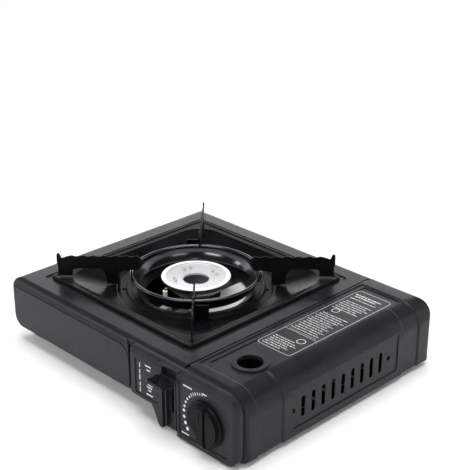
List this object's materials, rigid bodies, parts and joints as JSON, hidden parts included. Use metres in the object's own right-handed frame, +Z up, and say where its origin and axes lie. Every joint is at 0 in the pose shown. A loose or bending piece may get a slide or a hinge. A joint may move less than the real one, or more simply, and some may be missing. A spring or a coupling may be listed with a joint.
{
  "type": "butane cassette stove",
  "caption": "Low tabletop gas stove with one burner, a lift-off pan support, a hinged lid over its gas cartridge, a turning gas knob and a lock lever.",
  "frame": {"origin": "centre of the box around the stove, at the height of the table it stands on", "axes": "+X along the length towards the cartridge bay, +Y towards the back, +Z up; the knob and lever face -Y"},
  "size_m": [0.344, 0.293, 0.0998],
  "materials": {
    "coated_steel": "satin",
    "black_enamel": "gloss",
    "black_plastic": "matte",
    "aluminium": "satin",
    "zinc_steel": "satin",
    "screw_steel": "satin",
    "brass": "satin",
    "ceramic": "gloss",
    "rubber": "matte"
  },
  "bodies": {
    "stove_body": {"base_plate": "coated_steel", "top_shell": "coated_steel", "control_panel": "black_plastic", "partition_wall": "coated_steel", "valve_plate": "zinc_steel", "rear_plate": "coated_steel", "drip_tray": "black_enamel", "burner_head": "aluminium", "burner_base": "zinc_steel", "mixing_tube": "aluminium", "burner_bracket": "zinc_steel", "heat_plate": "aluminium", "valve_body": "zinc_steel", "regulator_cap": "zinc_steel", "regulator_screws": "screw_steel", "gas_jet": "brass", "cartridge_collar": "zinc_steel", "collar_seal": "rubber", "spindle_bush": "brass", "igniter": "black_plastic", "igniter_clip": "zinc_steel", "spark_electrode": "ceramic", "electrode_wire": "zinc_steel", "electrode_bracket": "zinc_steel", "ignition_lead": "rubber", "lever_pivot_pin": "zinc_steel", "slide_rivets": "zinc_steel", "hinge_pins": "zinc_steel", "feet": "rubber", "base_screws": "screw_steel", "panel_screws": "screw_steel", "valve_screws": "screw_steel", "burner_screws": "screw_steel"},
    "lid": {"cartridge_lid": "coated_steel"},
    "knob": {"gas_knob": "black_plastic", "knob_spindle": "brass", "spark_cam": "black_plastic"},
    "lever": {"lock_lever": "zinc_steel", "lever_handle": "black_plastic", "crank_pin": "zinc_steel"},
    "slider": {"cartridge_slider": "zinc_steel"},
    "pan_support": {"support_ring": "black_enamel", "support_arm_front": "black_enamel", "support_arm_right": "black_enamel", "support_arm_back": "black_enamel", "support_arm_left": "black_enamel"}
  },
  "joints": [
    {"name": "lid_hinge", "type": "hinge", "parent": "stove_body", "child": "lid", "pos_m": [0.0953, -0.108, 0.0696], "axis": [0, -1, 0], "range_deg": [0, 95]},
    {"name": "knob_turn", "type": "hinge", "parent": "stove_body", "child": "knob", "pos_m": [0.1308, -0.115, 0.0328], "axis": [0, -1, 0], "range_deg": [0, 140]},
    {"name": "lever_turn", "type": "hinge", "parent": "stove_body", "child": "lever", "pos_m": [0.083, -0.1055, 0.04], "axis": [1, 0, 0], "range_deg": [0, 50]},
    {"name": "cartridge_slide", "type": "slide", "parent": "stove_body", "child": "slider", "axis": [0, -1, 0], "range_m": [0, 0.00595]},
    {"name": "pan_support_lift", "type": "slide", "parent": "stove_body", "child": "pan_support", "axis": [0, 0, 1], "range_m": [0, 0.04]}
  ],
  "couplings": [
    {"joint": "cartridge_slide", "follows": "lever_turn", "m_per_rad": 0.00678}
  ]
}
